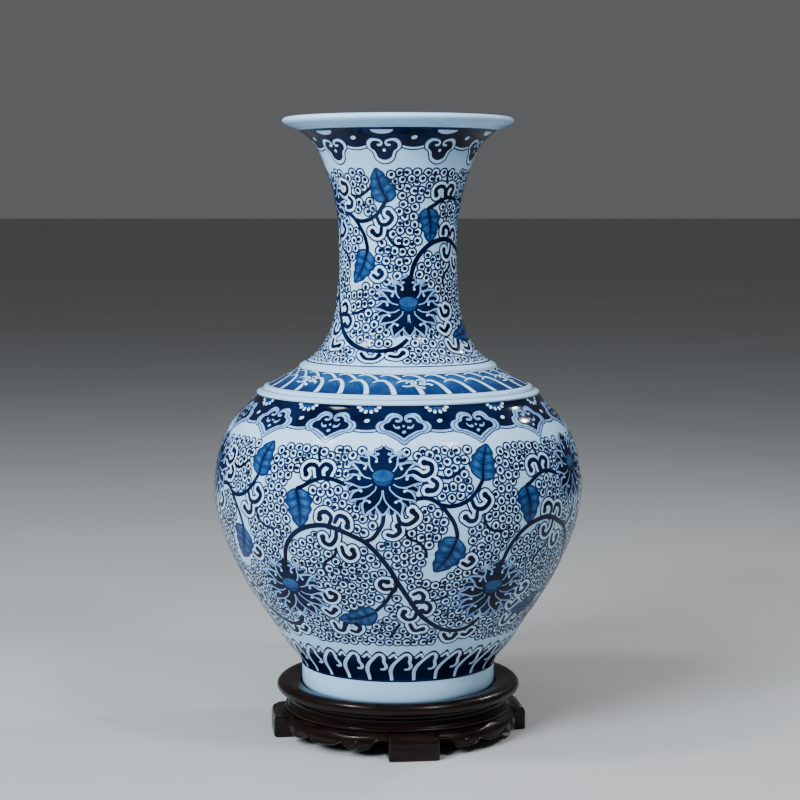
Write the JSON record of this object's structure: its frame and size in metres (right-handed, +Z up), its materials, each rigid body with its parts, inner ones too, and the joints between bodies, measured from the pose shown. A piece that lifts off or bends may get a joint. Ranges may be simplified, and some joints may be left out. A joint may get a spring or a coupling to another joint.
{
  "type": "vase with stand",
  "caption": "Tall baluster vase with a flared mouth, luted from three thrown sections, standing in the shallow recess of a carved four-legged wooden stand.",
  "frame": {"origin": "centre of the circle of the stand's feet, on the surface that the stand rests on", "axes": "+Z up along the vase's axis; -Y is the front, where the first leg stands a little to the right"},
  "size_m": [0.2738, 0.2738, 0.458],
  "materials": {
    "porcelain": "bluish white glaze over cobalt blue painting, glossy",
    "stand_wood": "near-black reddish brown lacquer over carved hardwood",
    "dowel_wood": "bare hardwood"
  },
  "bodies": {
    "stand": {"stand_seat_ring": "stand_wood", "stand_seat_panel": "stand_wood", "stand_waist_ring": "stand_wood", "stand_apron_1": "stand_wood", "stand_apron_2": "stand_wood", "stand_apron_3": "stand_wood", "stand_apron_4": "stand_wood", "stand_leg_1": "stand_wood", "stand_leg_2": "stand_wood", "stand_leg_3": "stand_wood", "stand_leg_4": "stand_wood", "stand_dowel_1": "dowel_wood", "stand_dowel_2": "dowel_wood", "stand_dowel_3": "dowel_wood", "stand_dowel_4": "dowel_wood"},
    "vase": {"vase_lower_section": "porcelain", "vase_upper_section": "porcelain", "vase_neck_section": "porcelain"}
  },
  "joints": [
    {"name": "vase_lift", "type": "slide", "parent": "stand", "child": "vase", "axis": [0, 0, 1], "range_m": [0, 0.06]}
  ]
}
